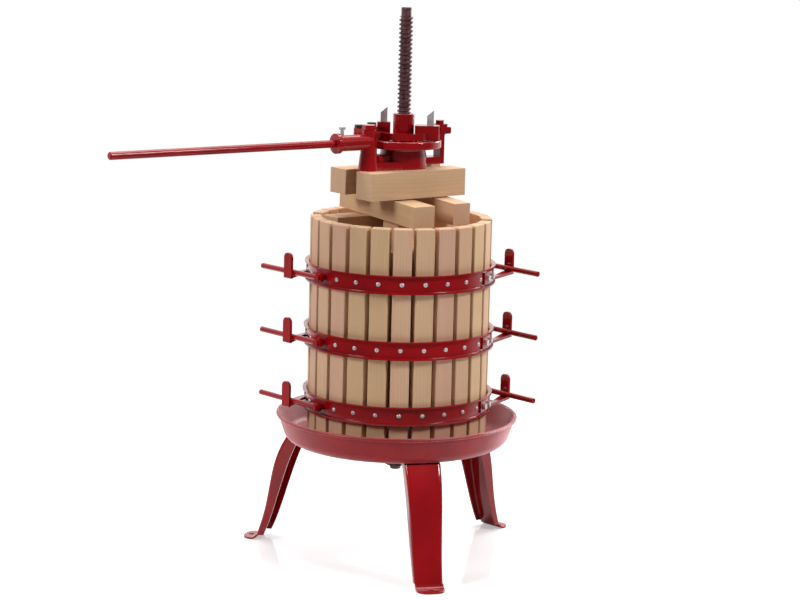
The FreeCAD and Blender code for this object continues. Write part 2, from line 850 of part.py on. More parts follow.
# The front arm runs from its link pin round the front of the hub to its pawl guide.
def front_arm():
    centre = polar(disc_hole_radius, front_guide_azimuth)
    inner = front_arm_radius - arm_width / 2
    outer = front_arm_radius + arm_width / 2
    sweep = front_guide_azimuth - front_arm_start_azimuth
    band = revolved([(inner, arm_bottom), (outer, arm_bottom), (outer, arm_top), (inner, arm_top)],
                    0.0, sweep, front_arm_start_azimuth)
    start = polar(front_arm_radius, front_arm_start_azimuth)
    tail = capsule(front_link, (start.x, start.y), arm_width / 2, arm_bottom, arm_top)
    eye = post(arm_eye_radius, arm_bottom, arm_top, *front_link)
    guide = guide_block(centre, front_guide_size, front_guide_corner, front_guide_shift)
    body = band.multiFuse([tail, eye, guide])
    body = body.cut(post(hub_radius + 3 * arm_gap, arm_bottom, guide_top))
    return at_head(body.cut(link_hole(front_link)).cut(pawl_slot(centre)).removeSplitter())


def rear_arm():
    centre = polar(disc_hole_radius, rear_guide_azimuth)
    tail = capsule(rear_link, (centre.x, centre.y), arm_width / 2, arm_bottom, arm_top)
    eye = post(arm_eye_radius, arm_bottom, arm_top, *rear_link)
    guide = guide_block(centre, rear_guide_size, rear_guide_corner, 0.0)
    body = tail.fuse(eye).fuse(guide)
    return at_head(body.cut(link_hole(rear_link)).cut(pawl_slot(centre)).removeSplitter())


# A flat bar with both ends cut at a slant, so that it can be turned round to reverse the ratchet.
def pawl(azimuth):
    centre = polar(disc_hole_radius, azimuth)
    low = disc_top + pawl_ride
    half = pawl_width / 2
    face = side_face([(-half, low + pawl_slant), (half, low), (half, pawl_top),
                      (-half, pawl_top - pawl_slant)])
    face.translate(FreeCAD.Vector(centre.x, centre.y - pawl_thickness / 2, 0))
    return at_head(face.extrude(FreeCAD.Vector(0, pawl_thickness, 0)))


# The lever casting: hub on the foot's boss, bar socket, and two ears that carry the link pins.
def handle_socket():
    hub_low = boss_height + thrust_gap
    hub = post(socket_hub_radius, hub_low, arm_bottom - arm_gap / 2, *pivot_point)
    waist = post(socket_waist_radius, hub_low, ear_top, *pivot_point)
    ears = [capsule(pivot_point, link, ear_radius, ear_bottom, ear_top) for link in (front_link, rear_link)]
    body = hub.multiFuse([waist] + ears + [socket_tube()])
    pin_hole = post(pivot_pin_diameter / 2 + running_fit, hub_low, ear_top, *pivot_point)
    body = body.cut(pin_hole).cut(link_hole(front_link)).cut(link_hole(rear_link))
    body = body.cut(socket_bore())
    return at_head(body.removeSplitter())


def socket_place(shape):
    return moved(turned(shape, socket_azimuth), *pivot_point)


def socket_cylinder(radius, start, end):
    way = FreeCAD.Vector(1, 0, 0)
    return Part.makeCylinder(radius, end - start, FreeCAD.Vector(start, 0, socket_axis_height), way)


def socket_tube():
    tube = socket_cylinder(socket_diameter / 2, 0, socket_length)
    collar = socket_cylinder(socket_collar_diameter / 2, socket_length - socket_collar_width, socket_length)
    collar = collar.makeFillet(foot_edge / 2, collar.Edges[0:1] + collar.Edges[2:3])
    return socket_place(tube.fuse(collar))


def socket_bore():
    bore = socket_cylinder(bar_diameter / 2 + bar_fit, bar_start - 1, socket_length)
    thread = post(set_screw_diameter / 2 + running_fit, socket_axis_height,
                  socket_axis_height + socket_collar_diameter, set_screw_offset)
    return socket_place(bore.fuse(thread))


def handle_bar():
    bar = socket_cylinder(bar_diameter / 2, bar_start, bar_end)
    bar = bar.makeChamfer(bar_end_chamfer, [bar.Edges[0], bar.Edges[2]])
    return at_head(socket_place(bar))


def set_screw():
    low = socket_axis_height + bar_diameter / 2 + set_screw_tip_gap
    high = socket_axis_height + socket_diameter / 2 + set_screw_rise
    shank = post(set_screw_diameter / 2, low, high, set_screw_offset)
    half = set_screw_wing_length / 2
    thick = set_screw_wing_thickness / 2
    wing = block_between((set_screw_offset - half, -thick, high - set_screw_wing_thickness),
                         (set_screw_offset + half, thick, high))
    return at_head(socket_place(shank.fuse(wing)))


def pivot_pin():
    head = hexagon_post(pivot_pin_head_flats, ear_top + thrust_gap,
                        ear_top + thrust_gap + pivot_pin_head_height, *pivot_point)
    shank = post(pivot_pin_diameter / 2, boss_height, ear_top + thrust_gap, *pivot_point)
    return at_head(head.fuse(shank))


def link_pins():
    pins = []
    for link in (front_link, rear_link):
        shank = post(pin_diameter / 2, arm_bottom, ear_top, *link)
        head = hexagon_post(pin_head_flats, ear_top, ear_top + pin_head_height, *link)
        pins.append(at_head(shank.fuse(head)))
    return Part.makeCompound(pins)


def all_parts():
    front = cage_split_azimuth + 180
    rear = cage_split_azimuth
    leg_names = ("leg_front", "leg_right", "leg_left")
    parts = {
        "basin": basin(),
        "spout": spout(),
        "under_plate": under_plate(),
        "centre_hub": centre_hub(),
        "screw": screw(),
        "bottom_nut": bottom_nut(),
        "leg_bolts": leg_bolts(),
        "slats_front": slats(front),
        "slats_rear": slats(rear),
        "hoop_screws_front": hoop_screws(front),
        "hoop_screws_rear": hoop_screws(rear),
        "board_left": half_board(1),
        "board_right": half_board(-1),
        "foot": foot(),
        "keeper_tongue": keeper_tongue(),
        "keeper_bolt": keeper_bolt(),
        "ratchet_nut": ratchet_nut(),
        "front_arm": front_arm(),
        "rear_arm": rear_arm(),
        "front_pawl": pawl(front_guide_azimuth),
        "rear_pawl": pawl(rear_guide_azimuth),
        "handle_socket": handle_socket(),
        "handle_bar": handle_bar(),
        "set_screw": set_screw(),
        "pivot_pin": pivot_pin(),
        "link_pins": link_pins(),
    }
    one_leg = leg()
    for i, name in enumerate(leg_names):
        parts[name] = turned(one_leg, leg_first_azimuth + i * 360 / leg_count)
    parts.update(wood_blocks())
    one_rod = rod()
    one_hook = hook()
    pins = []
    bolts = []
    for level, height in hoop_heights.items():
        parts["hoop_" + level + "_front"] = hoop(height, front)
        parts["hoop_" + level + "_rear"] = hoop(height, rear)
        for side, degrees in lock_sides().items():
            parts["rod_" + level + "_" + side] = moved(turned(one_rod, degrees), z=height)
            parts["hook_" + level + "_" + side] = moved(turned(one_hook, degrees), z=height)
            pins.append(moved(turned(rod_pin(), degrees), z=height))
            bolts += [moved(turned(bolt, degrees), z=height) for bolt in hook_bolt_pair()]
    parts["rod_pins"] = Part.makeCompound(pins)
    parts["hook_bolts"] = Part.makeCompound(bolts)
    return parts


def main():
    os.makedirs("parts", exist_ok=True)
    for name, shape in all_parts().items():
        shape.exportStep(os.path.join("parts", name + ".step"))
        print(name, len(shape.Solids), round(shape.Volume), shape.isValid())


main()
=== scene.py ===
import bpy
import bmesh
import math
from mathutils import Matrix, Vector


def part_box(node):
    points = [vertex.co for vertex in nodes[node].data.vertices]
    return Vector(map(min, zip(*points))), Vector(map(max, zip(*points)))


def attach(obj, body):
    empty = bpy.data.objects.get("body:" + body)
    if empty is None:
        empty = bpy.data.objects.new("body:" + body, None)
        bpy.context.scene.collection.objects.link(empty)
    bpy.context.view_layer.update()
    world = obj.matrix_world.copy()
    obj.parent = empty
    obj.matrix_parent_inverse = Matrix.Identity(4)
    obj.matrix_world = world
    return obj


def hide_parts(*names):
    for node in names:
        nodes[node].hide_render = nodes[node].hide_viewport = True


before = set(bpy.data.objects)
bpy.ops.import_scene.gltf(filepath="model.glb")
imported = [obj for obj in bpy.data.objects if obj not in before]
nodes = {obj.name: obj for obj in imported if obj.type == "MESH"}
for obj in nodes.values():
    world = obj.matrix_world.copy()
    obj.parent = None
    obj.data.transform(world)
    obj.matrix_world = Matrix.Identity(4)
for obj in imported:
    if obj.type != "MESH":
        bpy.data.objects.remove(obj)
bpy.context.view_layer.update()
print("frame loaded:", len(nodes), "nodes")


# Camera, placed by fitting rims, hoops and leg holes to the photograph

cameraSettings = {
    "lens": 112.5,
    "sensor": 36.0,
    "clipEnd": 60,
    "place": (0.0083, -4.0587, 1.1419),
    "pitch": 10.008,
    "roll": 1.42,
    "yaw": 0.102,
}


def makeCamera(settings):
    data = bpy.data.cameras.new("pressCamera")
    data.lens = settings["lens"]
    data.sensor_width = settings["sensor"]
    data.clip_end = settings["clipEnd"]
    camera = bpy.data.objects.new("pressCamera", data)
    bpy.context.scene.collection.objects.link(camera)
    turn = Matrix.Rotation(math.radians(settings["yaw"]), 4, "Z")
    tilt = Matrix.Rotation(math.radians(90 - settings["pitch"]), 4, "X")
    roll = Matrix.Rotation(math.radians(settings["roll"]), 4, "Z")
    camera.matrix_world = Matrix.Translation(settings["place"]) @ turn @ tilt @ roll
    bpy.context.scene.camera = camera


makeCamera(cameraSettings)
bpy.context.scene.view_settings.view_transform = "Standard"
print("camera set")


# Shader maths as plain expressions

class Wire:
    def __init__(self, tree, socket):
        self.tree = tree
        self.socket = socket

    def maths(self, operation, *others, flip=False):
        node = self.tree.nodes.new("ShaderNodeMath")
        node.operation = operation
        terms = [self, *others]
        if flip:
            terms.reverse()
        for slot, term in zip(node.inputs, terms):
            if isinstance(term, Wire):
                self.tree.links.new(term.socket, slot)
            else:
                slot.default_value = term
        return Wire(self.tree, node.outputs[0])

    def __add__(self, other):
        return self.maths("ADD", other)

    __radd__ = __add__

    def __mul__(self, other):
        return self.maths("MULTIPLY", other)

    __rmul__ = __mul__

    def __sub__(self, other):
        return self.maths("SUBTRACT", other)

    def __rsub__(self, other):
        return self.maths("SUBTRACT", other, flip=True)

    def __truediv__(self, other):
        return self.maths("DIVIDE", other)

    def __pow__(self, other):
        return self.maths("POWER", other)

    def __gt__(self, other):
        return self.maths("GREATER_THAN", other)

    def __lt__(self, other):
        return self.maths("LESS_THAN", other)


class Graph:
    def __init__(self, tree):
        self.tree = tree

    # _6 is socket number 6, and any other name is the socket's own, with _ for a space
    def plug(self, node, values):
        for name, value in values.items():
            slot = node.inputs[int(name[1:])] if name[0] == "_" else node.inputs[name.replace("_", " ")]
            if isinstance(value, Wire):
                self.tree.links.new(value.socket, slot)
            else:
                slot.default_value = value

    def add(self, kind, settings=None, output=0, **values):
        node = self.tree.nodes.new("ShaderNode" + kind)
        for name, value in (settings or {}).items():
            setattr(node, name, value)
        self.plug(node, values)
        return Wire(self.tree, node.outputs[output])

    def split(self, vector):
        node = self.tree.nodes.new("ShaderNodeSeparateXYZ")
        self.tree.links.new(vector.socket, node.inputs[0])
        return [Wire(self.tree, out) for out in node.outputs]

    def join(self, x, y, z):
        return self.add("CombineXYZ", X=x, Y=y, Z=z)

    def noise(self, vector, scale, detail=3.0, roughness=0.5):
        return self.add("TexNoise", {"noise_dimensions": "3D"}, Vector=vector, Scale=scale,
                        Detail=detail, Roughness=roughness)

    def luck(self, number):
        return self.add("TexWhiteNoise", {"noise_dimensions": "1D"}, W=number)

    def ramp(self, value, low, high):
        return self.add("MapRange", {"clamp": True}, Value=value, _1=low, _2=high, _3=0.0, _4=1.0)

    def mix(self, share, first, second):
        return self.add("Mix", {"data_type": "RGBA"}, 2, _0=share, _6=first, _7=second)

    def bump(self, height, distance, strength=1.0):
        return self.add("Bump", Height=height, Distance=distance, Strength=strength)

    def place(self):
        return self.add("TexCoord", output="Object")


class Finish(Graph):
    def __init__(self, name, **values):
        self.material = bpy.data.materials.new(name)
        self.material.use_nodes = True
        super().__init__(self.material.node_tree)
        self.shader = self.tree.nodes["Principled BSDF"]
        self.plug(self.shader, values)


# Red enamel: glossy, with a faint orange-peel surface and slightly uneven depth of colour

enamelSettings = {
    "deep": (0.24, 0.0014, 0.0040, 1),
    "bright": (0.36, 0.0028, 0.0065, 1),
    "roughness": 0.2,
    "specular": 0.12,
    "coat": 0.75,
    "coatRoughness": 0.04,
    "sheen": 0.0,
    "sheenRoughness": 0.4,
    "sheenTint": (1, 0.62, 0.66, 1),
    "cloudSize": 9.0,
    "cloudRange": (0.35, 0.68),
    "cloudRoughness": 0.05,
    "dustSize": 60.0,
    "dustRange": (0.5, 0.8),
    "dustRoughness": 0.07,
    "dustDulls": 0.25,
    "peelSize": 420.0,
    "peelDepth": 0.00006,
    "castSize": 150.0,
    "castDepth": 0.0,
}

castEnamelSettings = {**enamelSettings, "castDepth": 0.00009}
barEnamelSettings = {**enamelSettings, "coat": 0.4, "roughness": 0.3}

# The pressed basin is duller than the cast parts, most of all inside, where it has been washed out
basinEnamelSettings = {
    **enamelSettings,
    "roughness": 0.42,
    "coat": 0.35,
    "coatRoughness": 0.42,
    "sheen": 1.0,
    "insideRange": (-0.05, 0.1),
    "insideRoughness": 0.16,
    "insideCoat": 0.65,
    "peelDepth": 0.0001,
}


# The share of a surface that faces up, which in the basin is its inside
def facesUp(finish, low, high):
    x, y, z = finish.split(finish.add("TexCoord", output="Normal"))
    return finish.ramp(z, low, high)


def enamelFinish(name, settings):
    finish = Finish(name, IOR=1.5, Specular_IOR_Level=settings["specular"],
                    Coat_Roughness=settings["coatRoughness"], Sheen_Weight=settings["sheen"],
                    Sheen_Roughness=settings["sheenRoughness"], Sheen_Tint=settings["sheenTint"])
    place = finish.place()
    cloud = finish.ramp(finish.noise(place, settings["cloudSize"], 4.0), *settings["cloudRange"])
    dust = finish.ramp(finish.noise(place, settings["dustSize"], 5.0, 0.7), *settings["dustRange"])
    height = finish.noise(place, settings["peelSize"], 2.0) * settings["peelDepth"]
    if settings["castDepth"]:
        height = height + finish.noise(place, settings["castSize"], 4.0, 0.6) * settings["castDepth"]
    roughness = cloud * settings["cloudRoughness"] + dust * settings["dustRoughness"] + settings["roughness"]
    coat = settings["coat"] - dust * settings["dustDulls"]
    if "insideRange" in settings:
        inside = facesUp(finish, *settings["insideRange"])
        roughness = roughness + inside * settings["insideRoughness"]
        coat = coat + inside * settings["insideCoat"]
    finish.plug(finish.shader, {
        "Base Color": finish.mix(cloud, settings["deep"], settings["bright"]),
        "Roughness": roughness,
        "Coat Weight": coat,
        "Normal": finish.bump(height, 1.0),
    })
    return finish.material


# Bare metals, each with patches of two tones and a fine grain

metalSettings = {
    "screw": {
        "light": (0.26, 0.12, 0.13, 1),
        "dark": (0.09, 0.04, 0.045, 1),
        "metallic": 0.6,
        "roughness": 0.26,
    },
    "zinc": {
        "light": (0.74, 0.74, 0.72, 1),
        "dark": (0.46, 0.46, 0.45, 1),
        "metallic": 0.45,
        "roughness": 0.22,
    },
    "black": {
        "light": (0.075, 0.06, 0.058, 1),
        "dark": (0.025, 0.02, 0.02, 1),
        "metallic": 0.6,
        "roughness": 0.26,
    },
}

metalSurface = {
    "patchSize": 120.0,
    "patchRange": (0.35, 0.7),
    "patchRoughness": 0.06,
    "patchDepth": 0.00004,
    "grainSize": 900.0,
    "grainRoughness": 0.14,
    "grainDepth": 0.00003,
}


def metalFinish(name, settings, surface=metalSurface):
    finish = Finish(name)
    place = finish.place()
    patches = finish.ramp(finish.noise(place, surface["patchSize"], 5.0, 0.65), *surface["patchRange"])
    grain = finish.noise(place, surface["grainSize"], 3.0)
    uneven = grain * surface["grainRoughness"] + patches * surface["patchRoughness"]
    height = grain * surface["grainDepth"] + patches * surface["patchDepth"]
    finish.plug(finish.shader, {
        "Base Color": finish.mix(patches, settings["dark"], settings["light"]),
        "Metallic": settings["metallic"],
        "Roughness": uneven + settings["roughness"],
        "Normal": finish.bump(height, 1.0),
    })
    return finish.material


# Beech: growth rings round a pith line beside each piece, fine fibres and short flecks along the grain

woodSettings = {
    "pale": (0.70, 0.43, 0.30, 1),
    "warm": (0.56, 0.32, 0.21, 1),
    "warmShare": 0.6,
    "honey": (0.60, 0.42, 0.20, 1),
    "honeyShare": 0.6,
    "late": (0.42, 0.235, 0.14, 1),
    "endGrain": (0.50, 0.31, 0.20, 1),
    "endShare": 0.35,
    "pith": (0.055, 0.03),
    "ringWidth": 0.0042,
    "ringRange": (0.35, 0.97),
    "ringShare": 0.2,
    "ringWave": 0.02,
    "waveAlong": 2.2,
    "waveAcross": 9.0,
    "bandAlong": 1.2,
    "bandAcross": 35.0,
    "bandRange": (0.3, 0.7),
    "bandShare": 0.4,
    "fibreAlong": 14.0,
    "fibreAcross": 430.0,
    "fibreRange": (0.45, 0.75),
    "fibreShare": 0.14,
    "fleck": (0.33, 0.175, 0.10, 1),
    "fleckAlong": 130.0,
    "fleckAcross": 1500.0,
    "fleckRange": (0.66, 0.76),
    "fleckShare": 0.3,
    "roughness": 0.52,
    "fibreRoughness": 0.2,
    "ringRoughness": 0.06,
    "bump": 0.00012,
    "fleckDepth": 0.6,
    "ringHeight": 0.25,
}


# Noise that is stretched along the grain
def grainNoise(finish, spot, along, across, detail, roughness=0.5):
    x, y, z = spot
    return finish.noise(finish.join(x * along, y * across, z * across), 1.0, detail, roughness)


def woodFinish(name, settings, readPlace):
    finish = Finish(name, IOR=1.45, Coat_Weight=0.0)
    along, across, through, luck, end = readPlace(finish)
    spot = (along, across, through)
    pithAcross, pithThrough = settings["pith"]
    wave = grainNoise(finish, spot, settings["waveAlong"], settings["waveAcross"], 2.0)
    away = ((across + pithAcross) ** 2 + (through + pithThrough) ** 2) ** 0.5 + wave * settings["ringWave"]
    turnOfYear = (away / settings["ringWidth"]).maths("FRACT")
    ring = finish.ramp(turnOfYear, *settings["ringRange"]) ** 2
    fibre = grainNoise(finish, spot, settings["fibreAlong"], settings["fibreAcross"], 4.0, 0.65)
    fleckNoise = grainNoise(finish, spot, settings["fleckAlong"], settings["fleckAcross"], 1.0)
    fleck = finish.ramp(fleckNoise, *settings["fleckRange"])
    bandNoise = grainNoise(finish, spot, settings["bandAlong"], settings["bandAcross"], 3.0)
    band = finish.ramp(bandNoise, *settings["bandRange"])
    warm = band * settings["bandShare"] + luck * settings["warmShare"]
    tone = finish.mix(warm, settings["pale"], settings["warm"])
    tone = finish.mix((luck * 7.3).maths("FRACT") * settings["honeyShare"], tone, settings["honey"])
    late = ring * settings["ringShare"] + finish.ramp(fibre, *settings["fibreRange"]) * settings["fibreShare"]
    tone = finish.mix(late, tone, settings["late"])
    tone = finish.mix(fleck * settings["fleckShare"], tone, settings["fleck"])
    tone = finish.mix(end * settings["endShare"], tone, settings["endGrain"])
    uneven = fibre * settings["fibreRoughness"] + ring * settings["ringRoughness"]
    height = fibre - fleck * settings["fleckDepth"] + ring * settings["ringHeight"]
    finish.plug(finish.shader, {
        "Base Color": tone,
        "Roughness": uneven + settings["roughness"],
        "Normal": finish.bump(height, settings["bump"]),
    })
    return finish.material


endDepth = 0.0004  # how deep the end grain's tone goes into a slat or block

slatWood = {
    "step": 14.4,
    "split": -5.7,
    "bottom": 0.1968,
    "top": 0.5648,
    "halfNumber": 17.0,
    "otherLuck": 31.0,
    "nextAlong": 0.73,
    "luckAcross": 0.09,
    "luckThrough": 0.07,
    "radius": 0.14,
}


# Reads one slat's own directions from its azimuth round the cage, where each half has its own count of slats
def slatPlace(finish):
    x, y, z = finish.split(finish.place())
    step = math.radians(slatWood["step"])
    halfTurn = (y.maths("ARCTAN2", x) - math.radians(slatWood["split"])) / math.pi + 4.0
    half = halfTurn.maths("FLOOR")
    turn = (halfTurn - half - 0.5) * (math.pi / step)
    slat = turn.maths("FLOOR")
    number = slat + half * slatWood["halfNumber"]
    radius = (x * x + y * y) ** 0.5
    sideways = (turn - slat - 0.5) * step
    luck = finish.luck(number)
    other = finish.luck(number + slatWood["otherLuck"])
    along = z + number * slatWood["nextAlong"]
    across = radius * sideways.maths("SINE") + luck * slatWood["luckAcross"]
    through = radius * sideways.maths("COSINE") + other * slatWood["luckThrough"] - slatWood["radius"]
    end = (z > slatWood["top"] - endDepth) + (z < slatWood["bottom"] + endDepth)
    return along, across, through, luck, end


# One entry for each block and board, with its turn, lean and width, and its luck among the boards
blockSettings = {
    "block_top_front": {"turn": 37.0, "lean": 0.0, "wide": 0.042, "luck": 0.25},
    "block_top_rear": {"turn": 37.0, "lean": 0.0, "wide": 0.042, "luck": 0.62},
    "block_cross_left": {"turn": -55.0, "lean": 2.7, "wide": 0.04, "luck": 0.8},
    "block_cross_right": {"turn": -55.0, "lean": 2.7, "wide": 0.032, "luck": 0.45},
    "block_bottom_front": {"turn": 37.0, "lean": 0.0, "wide": 0.042, "luck": 0.1},
    "block_bottom_rear": {"turn": 37.0, "lean": 0.0, "wide": 0.042, "luck": 0.9},
    "board_left": {"turn": 37.0, "lean": 0.0, "wide": 0.0, "luck": 0.35},
    "board_right": {"turn": 37.0, "lean": 0.0, "wide": 0.0, "luck": 0.7},
}

blockWood = {
    "height": 0.035,
    "luckAlong": 5.1,
    "luckAcross": 0.04,
    "luckThrough": 0.05,
    "depth": 0.02,
}


def blockPlace(turn, lean, luck, halfLength, middle):
    def read(finish):
        place = finish.add("Mapping", {"vector_type": "TEXTURE"}, Vector=finish.place(),
                           Location=middle, Rotation=(0, lean, turn))
        x, y, z = finish.split(place)
        along = x + luck * blockWood["luckAlong"]
        across = y + luck * blockWood["luckAcross"]
        through = z + blockWood["depth"] - luck * blockWood["luckThrough"]
        end = x.maths("ABSOLUTE") > halfLength - endDepth
        return along, across, through, x * 0.0 + luck, end  # the luck as a wire
    return read


def blockFinish(node, settings):
    low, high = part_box(node)
    turn = math.radians(settings["turn"])
    lean = math.radians(settings["lean"])
    reach = ((high - low).x - settings["wide"] * abs(math.sin(turn))) / math.cos(turn)
    length = (reach - blockWood["height"] * math.sin(lean)) / math.cos(lean)
    place = blockPlace(turn, lean, settings["luck"], length / 2, (low + high) / 2)
    return woodFinish(node + "Beech", woodSettings, place)


# The nodes that are cast, zinc plated or blackened

castNodes = ("foot", "ratchet_nut", "front_arm", "rear_arm", "handle_socket", "keeper_tongue", "centre_hub",
             "keeper_bolt", "pivot_pin")
zincNodes = ("leg_bolts", "hook_bolts", "set_screw", "front_pawl", "rear_pawl")
blackNodes = ("link_pins", "bottom_nut")


def paint(node, material):
    mesh = nodes[node].data
    for slot in range(max(1, len(mesh.materials))):
        if slot < len(mesh.materials):
            mesh.materials[slot] = material
        else:
            mesh.materials.append(material)


def paintAll():
    enamel = enamelFinish("redEnamel", enamelSettings)
    castEnamel = enamelFinish("castRedEnamel", castEnamelSettings)
    barEnamel = enamelFinish("barRedEnamel", barEnamelSettings)
    basinEnamel = enamelFinish("basinRedEnamel", basinEnamelSettings)
    zinc = metalFinish("zincPlate", metalSettings["zinc"])
    black = metalFinish("blackenedSteel", metalSettings["black"])
    slats = woodFinish("slatBeech", woodSettings, slatPlace)
    for node in nodes:
        if node.startswith("slats"):
            paint(node, slats)
        elif node in blockSettings:
            paint(node, blockFinish(node, blockSettings[node]))
        elif node in zincNodes or node.startswith("hoop_screws"):
            paint(node, zinc)
        elif node in blackNodes:
            paint(node, black)
        elif node == "handle_bar":
            paint(node, barEnamel)
        elif node == "basin":
            paint(node, basinEnamel)
        else:
            paint(node, castEnamel if node in castNodes else enamel)


paintAll()
print("finishes set")


# Small tools for bmesh pieces

smoothAngle = 35


def pieceFrom(form, name, body, material):
    bmesh.ops.recalc_face_normals(form, faces=form.faces)
    mesh = bpy.data.meshes.new(name)
    form.to_mesh(mesh)
    form.free()
    mesh.materials.append(material)
    for face in mesh.polygons:
        face.use_smooth = True
    piece = bpy.data.objects.new(name, mesh)
    bpy.context.scene.collection.objects.link(piece)
    mesh.set_sharp_from_angle(angle=math.radians(smoothAngle))
    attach(piece, body)
    return piece


def line(form, points):
    verts = [form.verts.new(point) for point in points]
    return verts, [form.edges.new(pair) for pair in zip(verts, verts[1:])]


# A turned solid from its half profile
def lathe(form, points, steps):
    verts, edges = line(form, points)
    bmesh.ops.spin(form, geom=verts + edges, cent=(0, 0, 0), axis=(0, 0, 1), angle=2 * math.pi,
                   steps=steps, use_merge=True)
    bmesh.ops.remove_doubles(form, verts=form.verts, dist=0.00001)


# Moves all of one form into another
def addForm(form, extra):
    mesh = bpy.data.meshes.new("extraForm")
    extra.to_mesh(mesh)
    extra.free()
    form.from_mesh(mesh)
    bpy.data.meshes.remove(mesh)


# The screw with its trapezoidal thread

threadSettings = {
    "pitch": 0.007,
    "radius": 0.01125,
    "root": 0.0088,
    "crest": 0.0024,
    "flank": 0.0009,
    "low": 0.2062,
    "high": 0.8915,
    "steps": 28,
    "edge": 0.001,
    "tipRadius": 0.0083,
    "tipTop": 0.906,
    "tipSunk": 0.003,
    "collarRadius": 0.02,
    "collarLow": 0.1965,
    "collarCrown": 0.0005,
    "studRadius": 0.009,
    "studLow": 0.141,
}


def makeScrew(settings):
    material = metalFinish("oiledScrewSteel", metalSettings["screw"])
    form = bmesh.new()
    pitch = settings["pitch"]
    radius = settings["radius"]
    root = settings["root"]
    crest = settings["crest"] / 2
    foot = crest + settings["flank"]
    low = settings["low"] - pitch
    middle = low + pitch / 2
    verts, edges = line(form, [
        (root, 0, low), (root, 0, middle - foot), (radius, 0, middle - crest),
        (radius, 0, middle + crest), (root, 0, middle + foot), (root, 0, low + pitch),
    ])
    turns = math.ceil((settings["high"] - low) / pitch) + 1
    rise = (0, 0, pitch / settings["steps"])
    bmesh.ops.spin(form, geom=verts + edges, cent=(0, 0, 0), axis=(0, 0, 1), dvec=rise,
                   angle=2 * math.pi * turns, steps=turns * settings["steps"])
    bmesh.ops.remove_doubles(form, verts=form.verts, dist=0.00002)
    for height, way in ((settings["low"], -1), (settings["high"], 1)):
        everything = form.verts[:] + form.edges[:] + form.faces[:]
        cut = bmesh.ops.bisect_plane(form, geom=everything, dist=0.000001, plane_co=(0, 0, height),
                                     plane_no=(0, 0, way), clear_outer=True)
        rim = [part for part in cut["geom_cut"] if isinstance(part, bmesh.types.BMEdge)]
        bmesh.ops.holes_fill(form, edges=rim, sides=0)
    ends = bmesh.new()
    edge = settings["edge"]
    tip = settings["tipRadius"]
    tipLow = settings["high"] - settings["tipSunk"]
    tipTop = settings["tipTop"]
    lathe(ends, [(0.0, 0, tipLow), (tip, 0, tipLow), (tip, 0, tipTop - edge), (tip - edge, 0, tipTop),
                 (0.0, 0, tipTop)], 36)
    collar = settings["collarRadius"]
    collarLow = settings["collarLow"]
    stud = settings["studRadius"]
    studLow = settings["studLow"]
    lathe(ends, [(0.0, 0, studLow), (stud - edge, 0, studLow), (stud, 0, studLow + edge),
                 (stud, 0, collarLow), (collar, 0, collarLow), (collar, 0, settings["low"] - edge),
                 (collar - edge, 0, settings["low"]),
                 (0.0, 0, settings["low"] + settings["collarCrown"])], 40)
    addForm(form, ends)
    piece = pieceFrom(form, "pressScrew", "base", material)
    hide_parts("screw")


makeScrew(threadSettings)
print("screw made")


# Round heads with a cross recess, one on each slat and hoop

headSettings = {
    "steps": 12,
    "hoopRadius": 0.1515,
    "levels": (0.476, 0.3695, 0.263),
    "step": 14.4,
    "count": 11,
    "firsts": {"hoop_screws_front": 185.1, "hoop_screws_rear": 5.1},
    "spinByPlace": 1.1,
    "spinByLevel": 40,
    # radius, height and share of the radius between the recess's four arms
    "rings": [(0.0037, 0.0, 1.0), (0.0037, 0.0004, 1.0), (0.0034, 0.0011, 1.0), (0.0027, 0.0017, 1.0),
              (0.0019, 0.0021, 1.0), (0.0016, 0.0022, 0.42), (0.0009, 0.0010, 0.45)],
}


def screwHead(form, settings, place, turn):
    steps = settings["steps"]
    armStep = steps // 4
    loops = []
    for radius, height, share in settings["rings"]:
        loop = []
        for i in range(steps):
            reach = radius if i % armStep == 0 else radius * share
            angle = 2 * math.pi * i / steps
            spot = Vector((height, reach * math.cos(angle), reach * math.sin(angle)))
            loop.append(form.verts.new(place + turn @ spot))
        loops.append(loop)
    for lower, upper in zip(loops, loops[1:]):
        for i in range(steps):
            form.faces.new((lower[i - 1], lower[i], upper[i], upper[i - 1]))
    form.faces.new(loops[-1])
    form.faces.new(loops[0][::-1])


def makeScrewHeads(settings, material):
    for node, first in settings["firsts"].items():
        form = bmesh.new()
        for level in settings["levels"]:
            for i in range(settings["count"]):
                turn = Matrix.Rotation(math.radians(first + i * settings["step"]), 3, "Z")
                place = turn @ Vector((settings["hoopRadius"], 0, 0)) + Vector((0, 0, level))
                spin = settings["spinByPlace"] * i + settings["spinByLevel"] * level
                screwHead(form, settings, place, turn @ Matrix.Rotation(spin, 3, "X"))
        name = node.replace("hoop_screws", "roundHeads")
        piece = pieceFrom(form, name, "basket", material)
        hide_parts(node)


makeScrewHeads(headSettings, metalFinish("zincScrews", metalSettings["zinc"]))
print("screw heads made")


# The foot's raised cup round the nut's neck, and the saddle from it to the lever's boss

cupSettings = {
    "neckRadius": 0.0293,
    "footRadius": 0.0393,
    "rimRadius": 0.0379,
    "rimEdge": 0.001,
    "rimHigh": 0.004,
    "rimLow": 0.0015,
    "low": 0.016,
    "high": 0.0328,
    "steps": 64,
    "saddleAzimuth": 224.0,
    "saddleInner": 0.036,
    "saddleOuter": 0.066,
    "saddleWidth": 0.026,
    "saddleLow": 0.01,
    "saddleHigh": 0.0245,
    "saddleEdge": 0.003,
}


